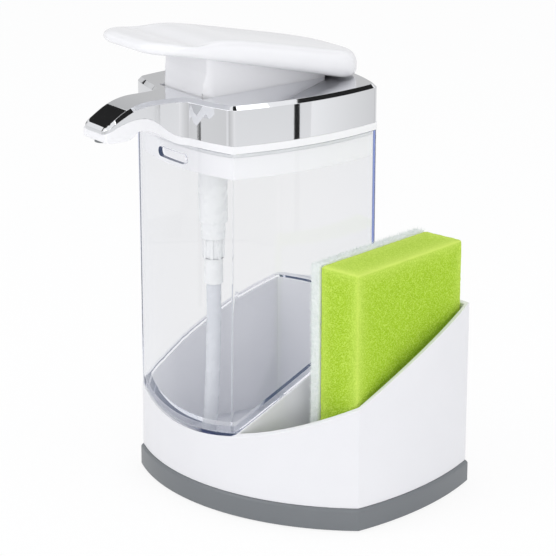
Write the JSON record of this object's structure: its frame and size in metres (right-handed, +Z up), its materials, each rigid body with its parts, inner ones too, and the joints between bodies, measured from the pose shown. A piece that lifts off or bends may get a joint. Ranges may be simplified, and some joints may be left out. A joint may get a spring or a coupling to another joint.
{
  "type": "soap pump caddy",
  "caption": "Lever pump soap dispenser: clear square tank with a chrome collar and spout, beside an open pocket that holds a two-layer sponge.",
  "frame": {"origin": "on the table, under the middle of the object's outline", "axes": "+Z up; the spout points to -Y; the sponge pocket lies on the +X side"},
  "size_m": [0.1194, 0.1458, 0.2003],
  "materials": {
    "pad": "soft matt elastomer",
    "grey_plastic": "satin grey plastic",
    "steel": "plain steel",
    "white_plastic": "glossy white plastic",
    "clear_plastic": "clear moulded plastic",
    "seal": "soft pale silicone",
    "chrome": "polished chrome plating",
    "natural_plastic": "milky natural plastic",
    "dark_seal": "dark elastomer",
    "dip_tube": "translucent plastic tube",
    "foam": "open-pored green foam",
    "scrub": "pale scouring fleece"
  },
  "bodies": {
    "base": {"foot_pads": "pad", "base_tray": "grey_plastic", "base_screws": "steel", "base_housing": "white_plastic"},
    "tank": {"tank": "clear_plastic"},
    "lid": {"lid": "white_plastic", "lid_gasket": "seal", "chrome_cover": "chrome", "cover_screws": "steel", "outlet_nozzle": "grey_plastic", "outlet_tube": "natural_plastic", "outlet_elbow": "natural_plastic", "pump_cylinder": "natural_plastic", "plunger_guide": "white_plastic", "return_spring": "steel", "dip_tube": "dip_tube", "lever_pin": "steel"},
    "lever": {"lever_arm": "white_plastic", "press_plate": "white_plastic"},
    "plunger": {"pump_plunger": "natural_plastic", "piston_seal": "dark_seal"},
    "inlet_valve": {"inlet_ball": "steel"},
    "outlet_valve": {"outlet_ball": "steel"},
    "sponge": {"sponge_foam": "foam", "sponge_scrub": "scrub"}
  },
  "joints": [
    {"name": "tank_lift", "type": "slide", "parent": "base", "child": "tank", "axis": [0, 0, 1], "range_m": [0, 0.09]},
    {"name": "lid_lift", "type": "slide", "parent": "tank", "child": "lid", "axis": [0, 0, 1], "range_m": [0, 0.145]},
    {"name": "lever_press", "type": "hinge", "parent": "lid", "child": "lever", "pos_m": [-0.01896, 0.03635, 0.166], "axis": [1, 0, 0], "range_deg": [0, 7]},
    {"name": "pump_stroke", "type": "slide", "parent": "lid", "child": "plunger", "axis": [0, 0, -1], "range_m": [0, 0.0064], "stiffness_N_per_m": 450, "springref_m": -0.004, "deforming": ["return_spring"]},
    {"name": "inlet_valve_lift", "type": "slide", "parent": "lid", "child": "inlet_valve", "axis": [0, 0, 1], "range_m": [0, 0.0015]},
    {"name": "outlet_valve_lift", "type": "slide", "parent": "plunger", "child": "outlet_valve", "axis": [0, 0, 1], "range_m": [0, 0.0015]},
    {"name": "sponge_lift", "type": "slide", "parent": "base", "child": "sponge", "axis": [0, 0, 1], "range_m": [0, 0.1]}
  ],
  "couplings": [
    {"joint": "pump_stroke", "follows": "lever_press", "m_per_rad": 0.052}
  ]
}
